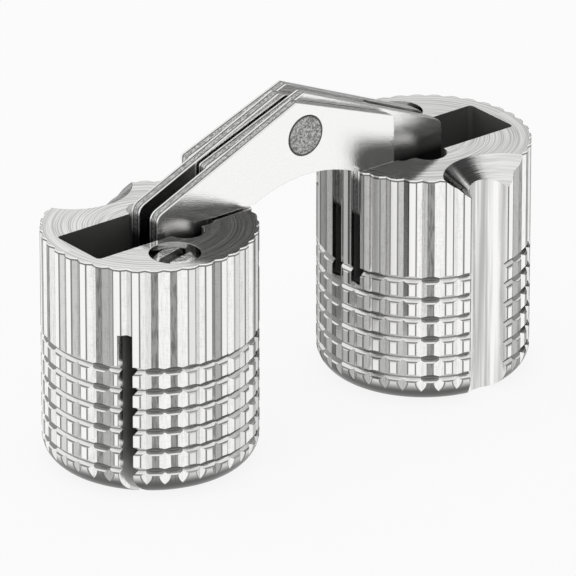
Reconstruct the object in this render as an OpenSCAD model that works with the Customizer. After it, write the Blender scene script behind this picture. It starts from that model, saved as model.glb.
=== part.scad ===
// Cylinder hinge for drilled holes: two knurled barrels joined by four crossed link plates.
// The hinge stands fully open, with both barrels on their bottom faces.
// X runs from the left barrel to the right one, the viewer is on the -Y side and Z points up.
// The origin lies on the floor, midway between the barrels.
// The right half is the left half turned by half a turn about the vertical axis.

/* [Barrels] */
// Diameter of the barrels over the knurling
barrel_d = 14; // [13:0.5:18]
// Height of the barrels
barrel_h = 16; // [15.5:0.5:20]
// Distance between the two barrel axes when open
barrel_spacing = 22.5; // [21.5:0.25:26]
// Radius of the rounded bottom edge
bottom_round = 1.7; // [0.6:0.1:1.9]

/* [Knurling] */
// Number of V-shaped flutes round a barrel
flute_count = 36; // [24:1:44]
// Depth of a flute
flute_depth = 0.2; // [0.1:0.02:0.3]
// Width of the land between two flutes
land_w = 0.34; // [0.2:0.02:0.5]
// Number of ring grooves
ring_count = 6; // [2:1:6]
// Distance from one ring groove to the next
ring_pitch = 1.4; // [1:0.05:1.45]
// Depth of the first ring groove below the top face
ring_first = 7.1; // [5:0.1:7.2]
// Depth of a ring groove
ring_depth = 0.32; // [0.12:0.02:0.36]
// Width of a ring groove at the surface
ring_w = 0.64; // [0.3:0.02:0.8]

/* [Link slot] */
// Gap between the link pack and each side of its slot
slot_clear = 0.32; // [0.1:0.02:0.4]
// Thickness of the wall at the outer end of the slot
slot_wall = 1.25; // [1.1:0.05:1.3]
// Distance of the slot's inner end from the barrel's axis
slot_inner = 3.6; // [3.4:0.05:3.9]
// Thickness of the floor under the slot
slot_floor = 2.5; // [1.5:0.1:2.6]
// Corner radius of the slot
slot_corner = 0.3; // [0.1:0.05:0.6]
// Radius of the round notches that let the sliding pin in
notch_r = 1.2; // [1.15:0.01:1.4]
// Depth of the notches beyond the sides of the slot
notch_depth = 1.1; // [1:0.05:1.3]
// Depth of the narrow slots in which the pivoting links turn
knuckle_slot_depth = 8; // [7.5:0.1:9]

/* [Linkage] */
// Distance of the pivot pin from its barrel's outside
pivot_edge = 1.36; // [1.2:0.02:1.6]
// Depth of the pivot pin below the top face
pivot_drop = 2.5; // [2.2:0.05:2.7]
// Height of the centre rivet above the top face
rivet_rise = 3.8; // [3.6:0.05:4]
// Distance of the sliding pin from its barrel's axis
slide_x = 1.3; // [1.1:0.05:1.5]
// Turn of a link in the barrel that it pivots in, from open to closed
link_turn = 112.5; // [110:0.5:114]

/* [Link plates] */
// Thickness of a plate
link_t = 0.8; // [0.7:0.02:0.9]
// Gap between two plates
link_gap = 0.14; // [0.04:0.02:0.2]
// Height of the plate's peak above the top face
peak_rise = 6.24; // [5.8:0.02:6.6]
// Distance of the peak from the rivet, towards the long arm
peak_offset = 0.68; // [0:0.02:1]
// Reach of the long arm from the rivet
long_reach = 12; // [11.4:0.05:12.1]
// Fall of the long arm's top edge
long_fall = 23.5; // [21:0.5:26]
// Reach of the short arm from the rivet
short_reach = 7.3; // [7:0.05:7.6]
// Fall of the short arm's top edge
short_fall = 20.8; // [18:0.5:24]
// Height of the arch between the barrels above the top face
arch_rise = 1.06; // [0.8:0.02:1.4]
// Gap between a sliding link and the top face that it passes over
seat_clear = 0.12; // [0.08:0.01:0.3]
// Gap between a sliding link's foot and the inner end of the slot
foot_clear = 0.25; // [0.15:0.05:0.5]
// Radius of the knuckle round the pivot pin
knuckle_r = 1.2; // [1:0.02:1.25]
// Radius of the boss round the sliding pin
boss_r = 1.3; // [1.1:0.05:1.4]
// Radius of the long arm's upper corner
long_corner = 0.7; // [0.3:0.05:1]
// Radius of the other upper corners
small_corner = 0.25; // [0.1:0.05:0.5]

/* [Pins] */
// Diameter of the centre rivet
rivet_d = 2.72; // [2:0.02:3]
// How far the rivet stands proud of the outer plates
rivet_proud = 0.02; // [0:0.01:0.06]
// Diameter of the pivot pins
pivot_pin_d = 1.2; // [1:0.05:1.3]
// How far a pivot pin stands proud of the barrel at its outer edge
pivot_pin_proud = 0.2; // [0.1:0.05:0.4]
// How far a pivot pin reaches into the wall behind the last link
pivot_pin_seat = 0.45; // [0.3:0.05:0.5]
// Diameter of the sliding pins
slide_pin_d = 1.6; // [1.2:0.05:1.7]
// How far a sliding pin reaches into each guide track
guide_reach = 0.5; // [0.3:0.05:0.5]
// Radial clearance of the pins in their holes
pin_clear = 0.03; // [0.02:0.01:0.06]
// Clearance of a sliding pin in its guide track
guide_clear = 0.12; // [0.08:0.01:0.2]

/* [Clamp screws] */
// Distance of the screw from the barrel's axis, away from the other barrel
screw_x = 1.35; // [1:0.05:1.6]
// How far the screw sits inwards from the middle of the wall beside the slot
screw_inset = 0.1; // [0:0.05:0.2]
// Diameter of the screw's head
screw_head_d = 2.9; // [2.8:0.05:3]
// Height of the screw's head
screw_head_h = 1.3; // [1.1:0.1:1.8]
// Chamfer of the head's edge
screw_edge = 0.35; // [0.2:0.05:0.5]
// Depth of the head's top below the barrel's top face
screw_recess = 0.15; // [0.05:0.05:0.5]
// Diameter of the screw's shank
screw_shank_d = 2.4; // [2:0.1:2.5]
// Length of the screw under its head
screw_length = 9; // [7:0.5:11]
// Radial gap round the screw's head
screw_head_clear = 0.22; // [0.1:0.02:0.26]
// Radial gap round the screw's shank
screw_clear = 0.05; // [0.03:0.01:0.1]
// Width of the screwdriver slot
driver_w = 0.85; // [0.5:0.05:0.9]
// Depth of the screwdriver slot
driver_depth = 0.8; // [0.5:0.05:0.9]
// Turn of the screwdriver slot from the line through both barrels
driver_turn = 15; // [0:1:90]

/* [Barrel fixing] */
// Width of the slit that lets the screw spread the barrel
slit_w = 0.75; // [0.5:0.05:1]
// Depth below the top face at which the slit starts
slit_top = 4.65; // [4:0.05:6]
// How far the slit runs on past the screw's axis
slit_past = 1.6; // [1.4:0.1:2.5]
// Radius of the half-round groove for a wood screw
groove_r = 1.5; // [1.4:0.05:1.8]
// Depth of that groove at its middle
groove_depth = 1.45; // [1.2:0.05:1.7]
// Radius of the groove's countersink at the top face
sink_r = 3.8; // [3.4:0.1:4]
// How far the countersink's axis lies outside the groove's axis
sink_out = 0.95; // [0.6:0.05:1.2]
// Half angle of the countersink
sink_angle = 50; // [40:1:60]

/* [Hidden] */
$fn = 64;

// Overlap of a cut past the face that it opens
cut = 1;
// Steps in a rounded corner, in half a circle and along a guide track
corner_steps = 5;
arc_steps = 16;
track_steps = 24;

barrel_r = barrel_d/2;
half_spacing = barrel_spacing/2;
link_pitch = link_t + link_gap;
pack_w = 4*link_pitch;
slot_w = pack_w + 2*slot_clear;
slot_end = barrel_r - slot_wall;
slide_pin_len = slot_w + 2*guide_reach;
pivot_x = barrel_r - pivot_edge;
pivot_pin_end = pack_w/2 + pin_clear + pivot_pin_seat;
screw_y = (slot_w/2 + barrel_r - flute_depth)/2 - screw_inset;

// Places of the linkage in the X-Z plane
pivot = [pivot_x - half_spacing, barrel_h - pivot_drop];
rivet = [0, barrel_h + rivet_rise];
guide_turn = 180 - link_turn;

function turned(angle, v) = [v[0]*cos(angle) - v[1]*sin(angle), v[0]*sin(angle) + v[1]*cos(angle)];
function unit(v) = v/norm(v);
function mirrored(v) = [-v[0], v[1]];

// Where the rivet is when the hinge is folded by the share t, seen from the left barrel
function rivet_at(t) = pivot + turned(link_turn*t, rivet - pivot);

// The sliding pin stands at the same distance from the barrel's axis, open and closed
slide_arm_x = slide_x - half_spacing;
slide_arm_z = (rivet_at(1)[0] - slide_arm_x*(1 - cos(guide_turn)))/sin(guide_turn);
slide_arm = [slide_arm_x, slide_arm_z];
slide = rivet + slide_arm;

// Where the sliding pin is at the share t of the fold
function slide_at(t) = rivet_at(t) + turned(guide_turn*t, slide_arm);

// Points of an arc that rounds the corner b between a and c
function rounded(a, b, c, r) =
    let (u = unit(a - b), v = unit(c - b), half = acos(u*v)/2)
    let (from = b + u*r/tan(half), centre = b + unit(u + v)*r/sin(half))
    let (sweep = (180 - 2*half)*sign(u[0]*v[1] - u[1]*v[0]))
    [for (i = [0:corner_steps]) centre + turned(-sweep*i/corner_steps, from - centre)];

// Points of half a circle, clockwise from the radius that is given
function half_circle(centre, from) =
    [for (i = [0:arc_steps]) centre + turned(-180*i/arc_steps, from)];

// Draws a profile in the X-Z plane and gives it depth from y0 to y1
module along_y(y0, y1) {
    translate([0, y1, 0])
        rotate([90, 0, 0])
            linear_extrude(y1 - y0)
                children();
}

// Turns the left half into the right one
module right_half() {
    rotate([0, 0, 180])
        children();
}

// Near face of the plate in a layer, counted from the viewer
function layer_y(layer) = (layer - 1)*link_pitch - pack_w/2 + link_gap/2;

// Barrel

module fluted_section() {
    half_w = (PI*barrel_d/flute_count - land_w)/2;
    difference() {
        circle(barrel_r, $fn = 180);
        for (i = [0:flute_count - 1])
            rotate(i*360/flute_count)
                polygon([[barrel_r - flute_depth, 0],
                         [barrel_r + flute_depth, 2*half_w],
                         [barrel_r + flute_depth, -2*half_w]]);
    }
}

module ring_grooves() {
    rotate_extrude($fn = 180)
        for (i = [0:ring_count - 1])
            translate([barrel_r, barrel_h - ring_first - i*ring_pitch])
                polygon([[-ring_depth, 0], [ring_depth, -ring_w], [ring_depth, ring_w]]);
}

module bottom_edge() {
    rotate_extrude($fn = 180)
        translate([barrel_r - bottom_round, 0])
            difference() {
                translate([0, -cut])
                    square([bottom_round + cut, bottom_round + cut]);
                translate([0, bottom_round])
                    circle(bottom_round);
            }
}

module slot_section() {
    length = slot_end + slot_inner;
    translate([-slot_end, slot_corner - slot_w/2])
        square([length, slot_w - 2*slot_corner]);
    translate([slot_corner - slot_end, -slot_w/2])
        square([length - 2*slot_corner, slot_w]);
    for (x = [slot_corner - slot_end, slot_inner - slot_corner])
        for (side = [-1, 1])
            translate([x, side*(slot_w/2 - slot_corner)])
                circle(slot_corner);
}

// The slot holds the links, and the notches in its sides let the sliding pin in
module link_slot() {
    translate([0, 0, slot_floor])
        linear_extrude(barrel_h)
            slot_section();
    for (side = [-1, 1])
        translate([slide_x, side*(slot_w/2 + notch_depth - notch_r), slide[1]])
            cylinder(r = notch_r, h = barrel_h);
}

// Narrow slots at the layers of the two links that pivot in this barrel
module knuckle_slots() {
    for (layer = [2, 4])
        translate([slide_x, layer_y(layer) - pin_clear, barrel_h - knuckle_slot_depth])
            cube([barrel_r, link_t + 2*pin_clear, knuckle_slot_depth + cut]);
}

// Track that the sliding pin follows while the hinge folds
module guide_track() {
    r = slide_pin_d/2 + guide_clear;
    path = [for (i = [0:track_steps]) slide_at(i/track_steps) + [half_spacing, 0]];
    sides = [for (i = [0:track_steps])
        turned(90, unit(path[min(i + 1, track_steps)] - path[max(i - 1, 0)]))*r];
    along_y(-slide_pin_len/2 - guide_clear, slide_pin_len/2 + guide_clear)
        polygon(concat(
            [for (i = [1:track_steps - 1]) path[i] + sides[i]],
            half_circle(path[track_steps], sides[track_steps]),
            [for (i = [track_steps - 1:-1:1]) path[i] - sides[i]],
            half_circle(path[0], -sides[0])));
}

module pivot_hole() {
    along_y(-barrel_r, pivot_pin_end)
        translate([pivot_x, pivot[1]])
            circle(d = pivot_pin_d + 2*pin_clear);
}

module screw_hole() {
    translate([-screw_x, -screw_y, barrel_h - screw_recess - screw_head_h]) {
        cylinder(d = screw_head_d + 2*screw_head_clear, h = screw_head_h + screw_recess + cut);
        translate([0, 0, -screw_length - cut])
            cylinder(d = screw_shank_d + 2*screw_clear, h = screw_length + 2*cut);
    }
}

module spreading_slit() {
    translate([-barrel_d, -screw_y - slit_w/2, -cut])
        cube([barrel_d - screw_x + slit_past, slit_w, barrel_h - slit_top + cut]);
}

module fixing_groove() {
    sink_depth = sink_r/tan(sink_angle);
    translate([0, barrel_r - groove_depth + groove_r, 0]) {
        translate([0, 0, -cut])
            cylinder(r = groove_r, h = barrel_h + 2*cut);
        translate([0, sink_out, barrel_h - sink_depth])
            cylinder(r1 = 0, r2 = 2*sink_r, h = 2*sink_depth);
    }
}

module barrel() {
    translate([-half_spacing, 0, 0])
        difference() {
            linear_extrude(barrel_h)
                fluted_section();
            ring_grooves();
            bottom_edge();
            link_slot();
            knuckle_slots();
            guide_track();
            pivot_hole();
            screw_hole();
            spreading_slit();
            fixing_groove();
        }
}

module left_barrel() {
    color("gainsboro")
        barrel();
}

module right_barrel() {
    color("gainsboro")
        right_half()
            barrel();
}

// Link plates

// Outline of a plate whose long arm slides in the left barrel
module link_section() {
    top = barrel_h;
    far_pivot = mirrored(pivot);
    neck_x = far_pivot[0] - knuckle_r;
    arch_r = (neck_x*neck_x + arch_rise*arch_rise)/(2*arch_rise);
    foot_l = -long_reach;
    foot_r = slot_inner - half_spacing - foot_clear;
    peak = [-peak_offset, top + peak_rise];
    long_end = [foot_l, peak[1] - (long_reach - peak_offset)*tan(long_fall)];
    short_end = [short_reach, peak[1] - (short_reach + peak_offset)*tan(short_fall)];
    long_foot = [foot_l, slide[1] + boss_r + slide_pin_d/2];
    short_foot = [short_reach, far_pivot[1] + knuckle_r];
    difference() {
        polygon(concat(
            rounded(long_end, peak, short_end, small_corner),
            rounded(peak, short_end, short_foot, small_corner),
            [short_foot],
            half_circle(far_pivot, [knuckle_r, 0]),
            [[neck_x, top], [0, top + seat_clear], [foot_r, top + seat_clear], [foot_r, long_foot[1]]],
            half_circle(slide, [boss_r, 0]),
            [long_foot],
            rounded(long_foot, long_end, peak, long_corner)));
        intersection() {
            translate([0, top + arch_rise - arch_r])
                circle(arch_r, $fn = 180);
            translate([-neck_x, top])
                square([2*neck_x, 2*arch_rise]);
        }
    }
}

module link_plate(layer) {
    along_y(layer_y(layer), layer_y(layer) + link_t)
        difference() {
            link_section();
            translate(rivet)
                circle(d = rivet_d + 2*pin_clear);
            translate(mirrored(pivot))
                circle(d = pivot_pin_d + 2*pin_clear);
            translate(slide)
                circle(d = slide_pin_d + 2*pin_clear);
        }
}

module link_1() {
    color("whitesmoke")
        link_plate(1);
}

module link_2() {
    color("whitesmoke")
        right_half()
            link_plate(3);
}

module link_3() {
    color("whitesmoke")
        link_plate(3);
}

module link_4() {
    color("whitesmoke")
        right_half()
            link_plate(1);
}

// Pins

module center_rivet() {
    color("darkgray")
        along_y(layer_y(1) - rivet_proud, layer_y(4) + link_t + rivet_proud)
            translate(rivet)
                circle(d = rivet_d);
}

// The pin is driven in from the near side and its chamfered end stays proud there
module pivot_pin() {
    r = pivot_pin_d/2;
    near = -sqrt(barrel_r*barrel_r - (pivot_x + r)*(pivot_x + r)) - pivot_pin_proud;
    length = pivot_pin_end - near;
    translate([pivot[0], near, pivot[1]])
        rotate([-90, 0, 0])
            rotate_extrude()
                polygon([[0, 0], [r - pivot_pin_proud, 0], [r, pivot_pin_proud], [r, length], [0, length]]);
}

module left_pivot_pin() {
    color("silver")
        pivot_pin();
}

module right_pivot_pin() {
    color("silver")
        right_half()
            pivot_pin();
}

module slide_pin() {
    along_y(-slide_pin_len/2, slide_pin_len/2)
        translate(slide)
            circle(d = slide_pin_d);
}

module left_slide_pin() {
    color("silver")
        slide_pin();
}

module right_slide_pin() {
    color("silver")
        right_half()
            slide_pin();
}

// Clamp screws

module clamp_screw() {
    head_r = screw_head_d/2;
    shank_r = screw_shank_d/2;
    translate([-half_spacing - screw_x, -screw_y, barrel_h - screw_recess])
        difference() {
            rotate_extrude()
                polygon([[0, 0], [head_r - screw_edge, 0], [head_r, -screw_edge], [head_r, -screw_head_h],
                         [shank_r, -screw_head_h], [shank_r, shank_r - screw_head_h - screw_length],
                         [shank_r/2, -screw_head_h - screw_length], [0, -screw_head_h - screw_length]]);
            rotate([0, 0, driver_turn])
                translate([-screw_head_d, -driver_w/2, -driver_depth])
                    cube([2*screw_head_d, driver_w, driver_depth + cut]);
        }
}

module left_clamp_screw() {
    color("dimgray")
        clamp_screw();
}

module right_clamp_screw() {
    color("dimgray")
        right_half()
            clamp_screw();
}

left_barrel();
right_barrel();
link_1();
link_2();
link_3();
link_4();
center_rivet();
left_pivot_pin();
right_pivot_pin();
left_slide_pin();
right_slide_pin();
left_clamp_screw();
right_clamp_screw();
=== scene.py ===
import math
from types import SimpleNamespace

import bpy
from mathutils import Euler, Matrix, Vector


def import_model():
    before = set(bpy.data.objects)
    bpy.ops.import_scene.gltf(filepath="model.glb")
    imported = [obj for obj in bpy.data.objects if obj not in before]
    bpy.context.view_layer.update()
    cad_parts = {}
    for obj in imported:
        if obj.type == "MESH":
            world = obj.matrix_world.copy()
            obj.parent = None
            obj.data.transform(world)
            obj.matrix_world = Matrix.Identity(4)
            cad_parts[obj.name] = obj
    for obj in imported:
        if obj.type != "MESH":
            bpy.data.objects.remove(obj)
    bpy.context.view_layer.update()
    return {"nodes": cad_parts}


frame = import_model()
nodes = frame["nodes"]

# Sizes in millimetres, as on the part
MM = 0.001
BARREL_R = 7.0
BARREL_H = 16.0
BARREL_X = 11.25
BOTTOM_ROUND = 1.7
FLUTE_COUNT = 36
RING_DEPTH = 0.32
RING_LOWEST = 1.9
RING_PITCH = 1.4
RING_TOP = 9.6
GROOVE_R = 1.5
GROOVE_Y = 7.05
SINK_Y = 8.0
NOTCH_R = 1.2
NOTCH_X = 1.3
NOTCH_Y = 2.1
SCREW_X = -1.35
SCREW_Y = -4.4
SCREW_HOLE_R = 1.67
SCREW_TOP = 15.85
PLATE_T = 0.8
PLATE_PITCH = 0.94
PLATE_START = -1.81
RIVET_R = 1.36
RIVET_Z = 19.8
# The right barrel is the left one after half a turn, so its own x and y run the other way
SIDES = {"left": 1, "right": -1}

# Camera, fitted to the outlines of the photograph
CAMERA_AZIMUTH = -38.353
CAMERA_ELEVATION = 24.501
CAMERA_DISTANCE = 634.6
CAMERA_TARGET = (0.0, 0.0, 8.42)
CAMERA_CLIP = (0.01, 20)
FOCAL_PX = 9820
FRAME_PX = 576
SENSOR_W = 36.0

# Radius over which the shader rounds the edges, in millimetres
EDGE_ROUND = 0.05
# Width of the soft border of a round mask, in millimetres
MASK_SOFT = 0.02


# Node graphs

class Graph:
    """A short way to write a node tree: each method adds a node and returns its output."""

    def __init__(self, tree):
        self.tree = tree
        tree.nodes.clear()

    def add(self, kind, **settings):
        node = self.tree.nodes.new(kind)
        for name, value in settings.items():
            setattr(node, name, value)
        return node

    def feed(self, socket, value):
        if isinstance(value, bpy.types.NodeSocket):
            self.tree.links.new(value, socket)
        else:
            socket.default_value = value

    def math(self, operation, a, b=0.0):
        node = self.add("ShaderNodeMath", operation=operation)
        self.feed(node.inputs[0], a)
        self.feed(node.inputs[1], b)
        return node.outputs[0]

    def times(self, *values):
        """Product of all the values."""
        product = values[0]
        for value in values[1:]:
            product = self.math("MULTIPLY", product, value)
        return product

    def vector(self, operation, a, b):
        node = self.add("ShaderNodeVectorMath", operation=operation)
        self.feed(node.inputs[0], a)
        self.feed(node.inputs["Scale"] if operation == "SCALE" else node.inputs[1], b)
        return node.outputs[0]

    def split(self, vector):
        node = self.add("ShaderNodeSeparateXYZ")
        self.feed(node.inputs[0], vector)
        return node.outputs

    def join(self, x, y, z):
        node = self.add("ShaderNodeCombineXYZ")
        for socket, value in zip(node.inputs, (x, y, z)):
            self.feed(socket, value)
        return node.outputs[0]

    def step(self, value, low, high, to_low=0.0, to_high=1.0):
        """Smooth step from to_low at low to to_high at high."""
        node = self.add("ShaderNodeMapRange", interpolation_type="SMOOTHSTEP")
        for socket, v in zip(node.inputs, (value, low, high, to_low, to_high)):
            self.feed(socket, v)
        return node.outputs[0]

    def mix(self, factor, a, b):
        node = self.add("ShaderNodeMix", data_type="FLOAT")
        for index, v in ((0, factor), (2, a), (3, b)):
            self.feed(node.inputs[index], v)
        return node.outputs[0]

    def noise(self, vector, scale=1.0, detail=3.0, rough=0.5):
        node = self.add("ShaderNodeTexNoise")
        self.feed(node.inputs["Vector"], vector)
        self.feed(node.inputs["Scale"], scale)
        self.feed(node.inputs["Detail"], detail)
        self.feed(node.inputs["Roughness"], rough)
        return node.outputs[0]

    def hash(self, value):
        """Random number between 0 and 1, the same for the same value."""
        node = self.add("ShaderNodeTexWhiteNoise", noise_dimensions="1D")
        self.feed(node.inputs["W"], value)
        return node.outputs[0]

    def grey(self, value, tint):
        """A colour of that brightness with a slight tint."""
        node = self.add("ShaderNodeCombineColor")
        for socket, t in zip(node.inputs, tint):
            self.feed(socket, self.math("MULTIPLY", value, t))
        return node.outputs[0]

    def distance(self, a, b, a0, b0):
        """Distance of the point (a, b) from (a0, b0)."""
        gap = self.vector("SUBTRACT", self.join(a, b, 0.0), (a0, b0, 0.0))
        node = self.add("ShaderNodeVectorMath", operation="LENGTH")
        self.feed(node.inputs[0], gap)
        return node.outputs["Value"]

    def disc(self, a, b, a0, b0, radius):
        """Mask of the points (a, b) within that radius of (a0, b0)."""
        return self.step(self.distance(a, b, a0, b0), radius, radius - MASK_SOFT)

    def round_edge(self):
        """Normal that rounds the edges."""
        node = self.add("ShaderNodeBevel", samples=4)
        self.feed(node.inputs["Radius"], EDGE_ROUND * MM)
        return node.outputs[0]

    def bump(self, height, depth):
        """Normal with rounded edges and a relief of that depth in millimetres, from a height of 0 to 1."""
        node = self.add("ShaderNodeBump")
        self.feed(node.inputs["Distance"], depth * MM)
        self.feed(node.inputs["Height"], height)
        self.feed(node.inputs["Normal"], self.round_edge())
        return node.outputs[0]

    def place(self):
        """Position on the object in millimetres."""
        return self.vector("SCALE", self.add("ShaderNodeTexCoord").outputs["Object"], 1 / MM)

    def normal(self):
        """Parts of the surface's direction along the object's axes."""
        return self.split(self.add("ShaderNodeTexCoord").outputs["Normal"])

    def metal(self, tone, roughness, normal):
        """Nickel-coloured metal that gives back that share of the light."""
        shader = self.add("ShaderNodeBsdfPrincipled")
        self.feed(shader.inputs["Metallic"], 1.0)
        self.feed(shader.inputs["Base Color"], self.grey(tone, NICKEL_TINT))
        self.feed(shader.inputs["Roughness"], roughness)
        self.feed(shader.inputs["Normal"], normal)
        self.feed(self.add("ShaderNodeOutputMaterial").inputs["Surface"], shader.outputs[0])


def new_material(name):
    material = bpy.data.materials.new(name)
    material.use_nodes = True
    return material, Graph(material.node_tree)


# Metals. A tone is the share of the light that the metal gives back, and a pair is a dull and a bright one.
NICKEL_TINT = (1.0, 0.997, 0.988)

# Starts of the random rows for flutes, their facets and the lands
FLUTE_SEED = 16001
FACET_SEED = 200
LAND_SEED = 15844

# Tones of the barrels' sides
FLUTE_DULL = 0.46
FACET_DULL = 0.75
GRAIN_TONE = (0.86, 1.0)
CHATTER_TONE = (0.92, 1.0)
LAND_DULL = (0.18, 0.36)
SEAM_TONE = 0.22
# Depths under the skin between which a seam comes and goes
SEAM_FROM = (0.0, 0.012)
SEAM_TO = (0.07, 0.035)
# Painted shade on the rounded bottom edge: heights over which it goes from dark to bright
BOTTOM_SHADE_FADE = (0.9, 1.8)
BOTTOM_SHADE_TONE = 0.12
# Painted shade on the side next to the other barrel: turn of its middle in radians, cosines over which it
# grows darker
INNER_TURN = 0.2
INNER_SHADE_FADE = (0.8, 0.95)
INNER_SHADE_TONE = 0.5
# Painted highlight along the rim over a painted dark line of shade, with the distances from the top at which
# they begin
RIM_SHADE_FROM = (0.24, 0.18)
RIM_SHADE = 0.2
RIM_HIGHLIGHT_FROM = (0.12, 0.08)
RIM_HIGHLIGHT = 1.0

# Lower flank of a ring groove: heights from the ring's middle at which root, lip and land begin; the root
# and the down-facing roof get painted shade, the up-facing flank a painted highlight beside shiny lands and
# painted shade beside dull ones
ROOT_FROM = (-0.05, -0.02)
LIP_FROM = (-0.19, -0.21)
LIP_END = (-0.27, -0.29)
# Tones of painted shade in the root, painted shade and highlight on the flank, painted shade on the roof
ROOT_SHADE_TONE = 0.36
FLANK_SHADE_AND_HIGHLIGHT = (0.3, 1.0)
ROOF_SHADE_TONE = (0.36, 0.72)

# Painted shade in the slot and slit, painted lighter near the floor, and the screw hole
SLOT_SHADE_FADE = (0.4, 4.0)
SLOT_SHADE_TONE = (0.6, 0.3)
HOLE_TONE = 0.45
# How far the masks of the cuts reach past their edges
CUT_PAST = 0.04
GROOVE_PAST = 0.03
GROOVE_TONE = (0.5, 1.0)
# Notch: painted shade deep inside and a bright edge: distances from the top and from the notch's middle over
# which the edge grows
NOTCH_RISE = (0.9, 0.4)
NOTCH_ACROSS = (0.3, 0.8)
NOTCH_SHADE_AND_EDGE = (0.08, 1.0)
# Countersink: where it starts along y, and the end along x that is painted darker, as painted shade
SINK_FROM = (3.0, 3.3)
SINK_TONE = (0.8, 1.0)
SINK_SHADE_END = (1.0, 1.6)
SINK_END_TONE = 0.15
TOP_TONE = (0.55, 1.0)
BOTTOM_FACE_TONE = (0.4, 0.8)

# Depth of the relief on the barrels, and the slopes that it adds to the countersink and the notches
RELIEF = 0.018
SINK_STEEPER = 0.45
NOTCH_LEAN = 0.8
# Shares of that depth that the marks take
SIDE_MARKS = 0.2
SINK_MARKS = 0.3
END_MARKS = 0.12

FLUTE_ROUGH = 0.22
LAND_ROUGH = 0.3
SLOT_ROUGH = 0.6
BRIGHT_CUT_ROUGH = 0.12
TOP_ROUGH = 0.1
BOTTOM_ROUGH = 0.25


def barrel_place(g, sign):
    """Where a point lies in the barrel's own axes, and masks of the surfaces that it can be on."""
    at = SimpleNamespace()
    axis = (-sign * BARREL_X, 0.0, 0.0)
    at.local = g.vector("MULTIPLY", g.vector("SUBTRACT", g.place(), axis), (sign, sign, 1.0))
    at.x, at.y, at.z = g.split(at.local)
    at.radius = g.distance(at.x, at.y, 0.0, 0.0)
    at.angle = g.math("ARCTAN2", at.y, at.x)
    facing = g.normal()[2]
    at.up = g.step(facing, 0.3, 0.5)
    at.down = g.step(facing, -0.3, -0.5)

    # How deep a point lies under the outer skin, which turns in at the bottom
    under = g.math("MAXIMUM", g.math("SUBTRACT", BOTTOM_ROUND, at.z), 0.0)
    turn_in = g.math("SUBTRACT", BOTTOM_ROUND ** 2, g.times(under, under))
    skin = g.math("ADD", g.math("SQRT", turn_in), BARREL_R - BOTTOM_ROUND)
    at.depth = g.math("SUBTRACT", skin, at.radius)
    at.land = g.step(at.depth, 0.03, 0.01)
    at.inside = g.step(at.depth, RING_DEPTH + 0.02, RING_DEPTH + 0.06)
    at.top = g.step(at.z, BARREL_H - 0.02, BARREL_H - 0.005)
    at.bottom = g.step(at.z, 0.02, 0.005)
    at.upper = g.step(at.z, RING_TOP, RING_TOP + 0.5)
    return at


def knurl(g, at):
    """Flutes and lands, each with a tone of its own, with dark seams, painted shade on the lands near the
    bottom and on the side next to the other barrel, and a painted highlight over a painted dark line at the
    rim.
    """
    turn = g.times(at.angle, FLUTE_COUNT / math.tau)
    facet = g.math("FLOOR", g.times(turn, 2.0))
    flute_luck = g.hash(g.math("ADD", g.math("ROUND", turn), FLUTE_SEED))
    facet_luck = g.hash(g.math("ADD", facet, FACET_SEED))
    land_luck = g.hash(g.math("ADD", g.math("FLOOR", turn), LAND_SEED))
    at.grain = g.noise(g.vector("MULTIPLY", at.local, (8.0, 8.0, 1.0)), detail=4.0, rough=0.6)
    at.chatter = g.noise(g.vector("MULTIPLY", at.local, (2.0, 2.0, 10.0)), detail=4.0, rough=0.6)
    flute_tone = g.times(g.step(flute_luck, 0.6, 1.0, 1.0, FLUTE_DULL),
                         g.step(facet_luck, 0.55, 1.0, 1.0, FACET_DULL),
                         g.step(at.grain, 0.3, 0.55, *GRAIN_TONE),
                         g.step(at.chatter, 0.3, 0.5, *CHATTER_TONE))
    at.shiny = g.step(land_luck, 0.3, 0.55)
    dull = g.step(at.grain, 0.35, 0.6, *LAND_DULL)
    # Lands are painted dark near the bottom edge, as painted shade
    at.land_tone = g.mix(g.step(at.z, *BOTTOM_SHADE_FADE), BOTTOM_SHADE_TONE, g.mix(at.shiny, dull, 1.0))
    tone = g.mix(at.land, flute_tone, at.land_tone)
    seam = g.times(g.step(at.depth, *SEAM_FROM), g.step(at.depth, *SEAM_TO))
    tone = g.mix(g.times(seam, at.shiny), tone, SEAM_TONE)
    # Painted shade on the side that the other barrel darkens
    toward_other = g.math("COSINE", g.math("ADD", at.angle, INNER_TURN))
    tone = g.times(tone, g.step(toward_other, *INNER_SHADE_FADE, 1.0, INNER_SHADE_TONE))
    below_top = g.math("SUBTRACT", BARREL_H, at.z)
    # Painted shade and painted highlight along the rim
    tone = g.mix(g.step(below_top, *RIM_SHADE_FROM), tone, RIM_SHADE)
    return g.mix(g.step(below_top, *RIM_HIGHLIGHT_FROM), tone, RIM_HIGHLIGHT)


def ring_grooves(g, at, tone):
    """Painted shade in the root, a flank with a painted highlight beside shiny lands and painted shade
    beside dull ones, a lip the other way round, and painted shade on the down-facing roof, darker still near
    the bottom.
    """
    ring = g.math("DIVIDE", g.math("SUBTRACT", at.z, RING_LOWEST), RING_PITCH)
    rise = g.times(g.math("SUBTRACT", ring, g.math("ROUND", ring)), RING_PITCH)
    dark, bright = FLANK_SHADE_AND_HIGHLIGHT
    flank = g.mix(g.step(rise, *LIP_FROM), g.mix(at.shiny, dark, bright), g.mix(at.shiny, bright, dark))
    flank = g.mix(g.step(rise, *LIP_END), flank, at.land_tone)
    flank = g.mix(g.step(rise, *ROOT_FROM), flank, ROOT_SHADE_TONE)
    roof = g.step(at.z, *BOTTOM_SHADE_FADE, BOTTOM_SHADE_TONE, g.mix(at.shiny, *ROOF_SHADE_TONE))
    return g.mix(at.down, g.mix(at.up, tone, flank), roof)


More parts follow.
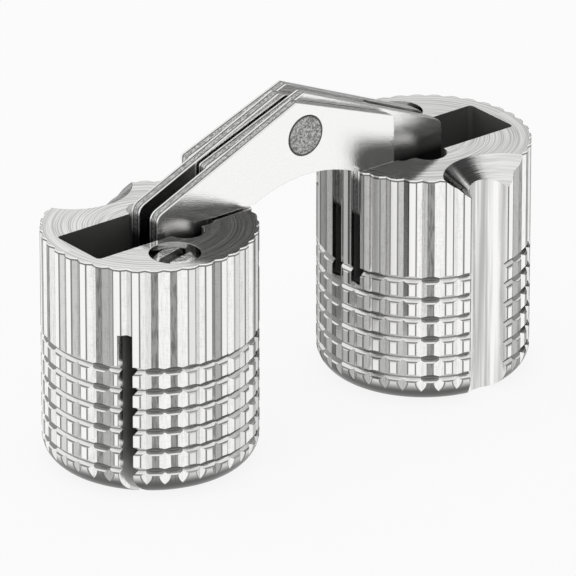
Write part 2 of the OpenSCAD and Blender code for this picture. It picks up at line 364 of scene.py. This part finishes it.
def cuts(g, at, tone):
    """Slot and slit in painted shade, screw hole, notches with painted shade inside and a bright edge, and
    the banded fixing groove.
    """
    at.hole = g.times(g.disc(at.x, at.y, SCREW_X, SCREW_Y, SCREW_HOLE_R + CUT_PAST), at.upper)
    # Painted shade in the slot and slit, lighter near the floor
    cut_tone = g.mix(at.hole, g.step(at.z, *SLOT_SHADE_FADE, *SLOT_SHADE_TONE), HOLE_TONE)
    across = g.math("ABSOLUTE", at.y)
    notch = g.disc(at.x, across, NOTCH_X, NOTCH_Y, NOTCH_R + CUT_PAST)
    at.notch = g.times(notch, at.inside, at.upper)
    edge = g.times(g.step(g.math("SUBTRACT", BARREL_H, at.z), *NOTCH_RISE),
                   g.step(g.math("SUBTRACT", across, NOTCH_Y), *NOTCH_ACROSS))
    # Notches: painted shade deep inside, bright at the upper edge
    cut_tone = g.mix(at.notch, cut_tone, g.mix(edge, *NOTCH_SHADE_AND_EDGE))
    tone = g.mix(at.inside, tone, cut_tone)
    at.groove = g.disc(at.x, at.y, 0.0, GROOVE_Y, GROOVE_R + GROOVE_PAST)
    bands = g.noise(g.join(g.times(at.x, 2.4), 0.0, g.times(at.z, 0.05)))
    return g.mix(at.groove, tone, g.step(bands, 0.35, 0.65, *GROOVE_TONE))


def end_faces(g, at, tone):
    """Turning marks on the top and bottom faces, and the countersink, with painted shade at one end."""
    at.sink = g.times(at.up, at.upper, g.step(at.y, *SINK_FROM))
    at.sink_d = g.distance(at.x, at.y, 0.0, SINK_Y)
    at.sink_marks = g.noise(g.join(g.times(at.sink_d, 9.0), g.times(at.angle, 3.0), 0.0))
    # Countersink tone, with painted shade at one end along x
    sink_tone = g.times(g.step(at.sink_marks, 0.35, 0.65, *SINK_TONE),
                        g.step(at.x, *SINK_SHADE_END, 1.0, SINK_END_TONE))
    tone = g.mix(at.sink, tone, sink_tone)
    rings = g.join(g.times(at.radius, 10.0), g.times(at.angle, 0.5), 0.0)
    at.marks = g.noise(rings, detail=4.0, rough=0.7)
    tone = g.mix(at.top, tone, g.step(at.marks, 0.36, 0.6, *TOP_TONE))
    return g.mix(at.bottom, tone, g.step(at.marks, 0.36, 0.6, *BOTTOM_FACE_TONE))


def barrel_roughness(g, at):
    bright_cut = g.math("MAXIMUM", g.math("MAXIMUM", at.groove, at.sink), at.hole)
    roughness = g.mix(at.land, FLUTE_ROUGH, LAND_ROUGH)
    roughness = g.mix(at.inside, roughness, SLOT_ROUGH)
    roughness = g.mix(bright_cut, roughness, BRIGHT_CUT_ROUGH)
    roughness = g.mix(at.top, roughness, TOP_ROUGH)
    return g.mix(at.bottom, roughness, BOTTOM_ROUGH)


def barrel_height(g, at):
    """Relief of the marks, with extra slopes in the countersink and the notches."""
    height = g.times(g.math("ADD", at.grain, at.chatter), SIDE_MARKS)
    hollow = g.times(at.sink_d, SINK_STEEPER / RELIEF)
    height = g.mix(at.sink, height, g.math("ADD", hollow, g.times(at.sink_marks, SINK_MARKS)))
    height = g.mix(at.notch, height, g.times(at.z, -NOTCH_LEAN / RELIEF))
    return g.mix(g.math("MAXIMUM", at.top, at.bottom), height, g.times(at.marks, END_MARKS))


def barrel_material(side):
    """Bright nickel on a turned and knurled barrel."""
    material, g = new_material(f"{side}_barrel_nickel")
    at = barrel_place(g, SIDES[side])
    tone = knurl(g, at)
    tone = ring_grooves(g, at, tone)
    tone = cuts(g, at, tone)
    tone = end_faces(g, at, tone)
    g.metal(tone, barrel_roughness(g, at), g.bump(barrel_height(g, at), RELIEF))
    return material


# Plates: faces, sheared edges with a painted dark line of shade and a painted highlight line, and painted
# shade where the barrels hide them
FACE_TONE = (0.92, 1.0)
FACE_ROUGH = 0.13
FACE_MARKS = 0.85
EDGE_TONE = (0.2, 0.85)
EDGE_ROUGH = 0.35
EDGE_SHADE_FROM = (0.26, 0.2)
EDGE_SHADE = 0.12
EDGE_HIGHLIGHT_FROM = (0.16, 0.12)
EDGE_HIGHLIGHT = 1.0
# Painted shade on the part of the plates that the barrels hide
HIDDEN_SHADE_FADE = 0.8
HIDDEN_SHADE_TONE = 0.15
LINK_RELIEF = 0.012


def link_material():
    """Polished plate: bright faces, sheared and brushed edges with a painted dark line and a painted
    highlight line, and painted shade where the barrels hide it.
    """
    material, g = new_material("link_steel")
    local = g.place()
    _, y, z = g.split(local)
    face = g.step(g.math("ABSOLUTE", g.normal()[1]), 0.6, 0.9)
    fleck = g.noise(local, 11.0, rough=0.6)
    shear = g.noise(g.vector("MULTIPLY", local, (6.0, 14.0, 6.0)), rough=0.6)
    within = g.math("MODULO", g.math("SUBTRACT", y, PLATE_START), PLATE_PITCH)
    middle = g.math("ABSOLUTE", g.math("SUBTRACT", within, PLATE_T / 2))
    to_face = g.math("SUBTRACT", PLATE_T / 2, middle)
    edge_tone = g.step(shear, 0.35, 0.65, *EDGE_TONE)
    # Painted dark line of shade and painted highlight line along the plate edges
    edge_tone = g.mix(g.step(to_face, *EDGE_SHADE_FROM), edge_tone, EDGE_SHADE)
    edge_tone = g.mix(g.step(to_face, *EDGE_HIGHLIGHT_FROM), edge_tone, EDGE_HIGHLIGHT)
    tone = g.mix(face, edge_tone, g.step(fleck, 0.3, 0.7, *FACE_TONE))
    # Painted shade below the barrels' top
    tone = g.times(tone, g.step(z, BARREL_H - HIDDEN_SHADE_FADE, BARREL_H, HIDDEN_SHADE_TONE, 1.0))
    height = g.mix(face, shear, g.times(fleck, FACE_MARKS))
    g.metal(tone, g.mix(face, EDGE_ROUGH, FACE_ROUGH), g.bump(height, LINK_RELIEF))
    return material


PIN_TONE = (0.5, 0.7)
PIN_ROUGH = 0.3
PIN_RELIEF = 0.01


def pin_material():
    """Ground steel."""
    material, g = new_material("pin_steel")
    speck = g.noise(g.place(), 6.0)
    g.metal(g.step(speck, 0.3, 0.7, *PIN_TONE), PIN_ROUGH, g.bump(speck, PIN_RELIEF))
    return material


RIVET_TONE = (0.22, 0.7)
RIVET_RIM = (0.16, 0.04)
RIVET_RIM_TONE = 0.1
RIVET_ROUGH = 0.45
RIVET_RELIEF = 0.05


def rivet_material():
    """Pressed rivet: speckled ends with a dark rim."""
    material, g = new_material("rivet_steel")
    local = g.place()
    x, _, z = g.split(local)
    speck = g.noise(local, 8.0, 2.0, 0.6)
    to_edge = g.math("SUBTRACT", RIVET_R, g.distance(x, z, 0.0, RIVET_Z))
    tone = g.mix(g.step(to_edge, *RIVET_RIM), g.step(speck, 0.35, 0.65, *RIVET_TONE), RIVET_RIM_TONE)
    g.metal(tone, RIVET_ROUGH, g.bump(speck, RIVET_RELIEF))
    return material


SCREW_TONE = (0.75, 1.0)
SCREW_ROUGH = 0.18
SCREW_RELIEF = 0.05
# Depths under the head's top over which the driver slot is painted darker, as painted shade
DRIVER_SHADE_FADE = (0.3, 0.5)
DRIVER_SHADE_TONE = 0.4


def screw_material():
    """Bright zinc plate with painted shade in the driver slot."""
    material, g = new_material("screw_zinc")
    local = g.place()
    mark = g.noise(local, 4.0, rough=0.6)
    slot = g.step(g.math("SUBTRACT", SCREW_TOP, g.split(local)[2]), *DRIVER_SHADE_FADE)
    # The driver slot is painted darker with depth, as painted shade
    tone = g.mix(slot, g.step(mark, 0.3, 0.7, *SCREW_TONE), DRIVER_SHADE_TONE)
    g.metal(tone, SCREW_ROUGH, g.bump(mark, SCREW_RELIEF))
    return material


def dress():
    link = link_material()
    pin = pin_material()
    rivet = rivet_material()
    screw = screw_material()
    for name, piece in nodes.items():
        if name.endswith("_barrel"):
            material = barrel_material(name.removesuffix("_barrel"))
        elif name.startswith("link_"):
            material = link
        elif name.endswith("_clamp_screw"):
            material = screw
        elif name == "center_rivet":
            material = rivet
        else:
            material = pin
        piece.data.materials.clear()
        piece.data.materials.append(material)


# Stage, in metres

FLOOR_HALF = 3.0
FLOOR_TONE = 0.95
# Share of plain white in the floor where it is seen
FLOOR_WHITE = 0.88


def floor():
    """A pale floor that the camera and the metal see as white, with the shadow kept."""
    mesh = bpy.data.meshes.new("floor")
    corners = [(-FLOOR_HALF, -FLOOR_HALF, 0), (FLOOR_HALF, -FLOOR_HALF, 0),
               (FLOOR_HALF, FLOOR_HALF, 0), (-FLOOR_HALF, FLOOR_HALF, 0)]
    mesh.from_pydata(corners, [], [(0, 1, 2, 3)])
    piece = bpy.data.objects.new("floor", mesh)
    bpy.context.scene.collection.objects.link(piece)
    material, g = new_material("floor_white")
    lit = g.add("ShaderNodeBsdfDiffuse")
    lit.inputs["Color"].default_value = (FLOOR_TONE, FLOOR_TONE, FLOOR_TONE, 1)
    white = g.add("ShaderNodeEmission")
    path = g.add("ShaderNodeLightPath")
    seen = g.math("MAXIMUM", path.outputs["Is Camera Ray"], path.outputs["Is Glossy Ray"])
    seen = g.math("MAXIMUM", seen, path.outputs["Is Transmission Ray"])
    shader = g.add("ShaderNodeMixShader")
    g.feed(shader.inputs[0], g.times(seen, FLOOR_WHITE))
    g.feed(shader.inputs[1], lit.outputs[0])
    g.feed(shader.inputs[2], white.outputs[0])
    g.feed(g.add("ShaderNodeOutputMaterial").inputs["Surface"], shader.outputs[0])
    mesh.materials.append(material)


WORLD_BRIGHT = 1.0
WORLD_DARK = 0.06
# Dark screens: azimuth and elevation of the middle in degrees, cosines of the angles to the soft edge
SCREENS = ((-50.0, 20.0, 0.72, 0.86), (27.0, 6.0, 0.86, 0.95))
# Sines of the elevations between which the screens end
SCREEN_TOP = (0.56, 0.46)


def world():
    """A white tent with a large and a small dark screen, which the metal mirrors."""
    sky = bpy.data.worlds.new("studio")
    sky.use_nodes = True
    bpy.context.scene.world = sky
    g = Graph(sky.node_tree)
    toward = g.add("ShaderNodeTexCoord").outputs["Generated"]
    low = g.step(g.split(toward)[2], *SCREEN_TOP)
    strength = WORLD_BRIGHT
    for azimuth, elevation, outer, inner in SCREENS:
        middle = Vector((1, 0, 0))
        middle.rotate(Euler((0, -math.radians(elevation), math.radians(azimuth))))
        near = g.add("ShaderNodeVectorMath", operation="DOT_PRODUCT")
        g.feed(near.inputs[0], toward)
        g.feed(near.inputs[1], middle)
        screen = g.times(low, g.step(near.outputs["Value"], outer, inner))
        strength = g.mix(screen, strength, WORLD_DARK)
    back = g.add("ShaderNodeBackground")
    g.feed(back.inputs["Strength"], strength)
    g.feed(g.add("ShaderNodeOutputWorld").inputs["Surface"], back.outputs[0])


def camera():
    """A long lens at the photograph's angle."""
    azimuth = math.radians(CAMERA_AZIMUTH)
    elevation = math.radians(CAMERA_ELEVATION)
    back = Vector((math.sin(azimuth) * math.cos(elevation), -math.cos(azimuth) * math.cos(elevation),
                   math.sin(elevation)))
    data = bpy.data.cameras.new("camera")
    data.sensor_width = SENSOR_W
    data.lens = FOCAL_PX / FRAME_PX * SENSOR_W
    data.clip_start, data.clip_end = CAMERA_CLIP
    piece = bpy.data.objects.new("camera", data)
    piece.location = (Vector(CAMERA_TARGET) + back * CAMERA_DISTANCE) * MM
    piece.rotation_euler = (-back).to_track_quat("-Z", "Y").to_euler()
    bpy.context.scene.collection.objects.link(piece)
    bpy.context.scene.camera = piece


camera()
dress()
floor()
world()
bpy.context.scene.view_settings.view_transform = "Standard"
